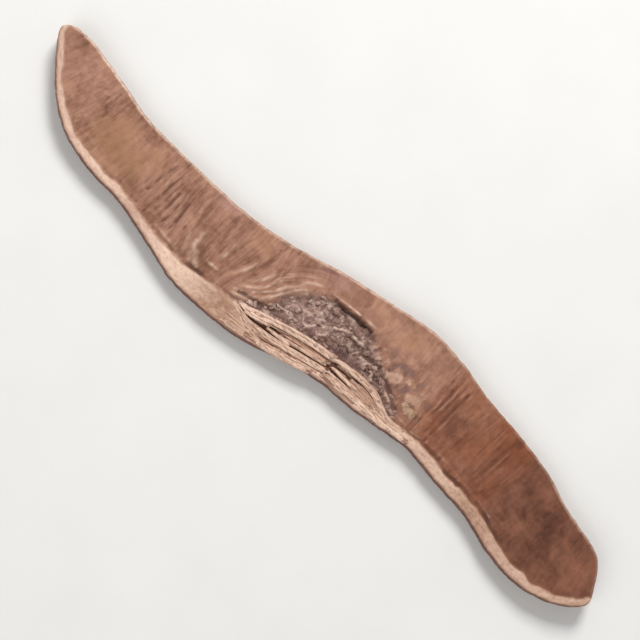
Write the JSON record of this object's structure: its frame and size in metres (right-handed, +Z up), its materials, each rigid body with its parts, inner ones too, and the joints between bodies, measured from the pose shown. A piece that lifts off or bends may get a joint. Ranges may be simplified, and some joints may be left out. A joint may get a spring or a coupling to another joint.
{
  "type": "dried reishi mushroom slice",
  "caption": "Long thin dried slice of a reishi mushroom cap with a brown grooved tube layer, a pale flesh rim and a torn fibrous hollow, lying flat on its cut face.",
  "frame": {"origin": "middle of the slice's box at the height of the surface that it lies on", "axes": "+X along the slice towards its broad rounded end, +Y across it from the crust side to the pore side, +Z up through its thickness"},
  "size_m": [0.1346, 0.0284, 0.0048],
  "materials": {
    "reishi_flesh": "matt, dry, finely grooved, with a pale fibrous rim and a thin glossy red-brown crust"
  },
  "bodies": {
    "root": {"reishi_slice": "reishi_flesh"}
  },
  "joints": []
}
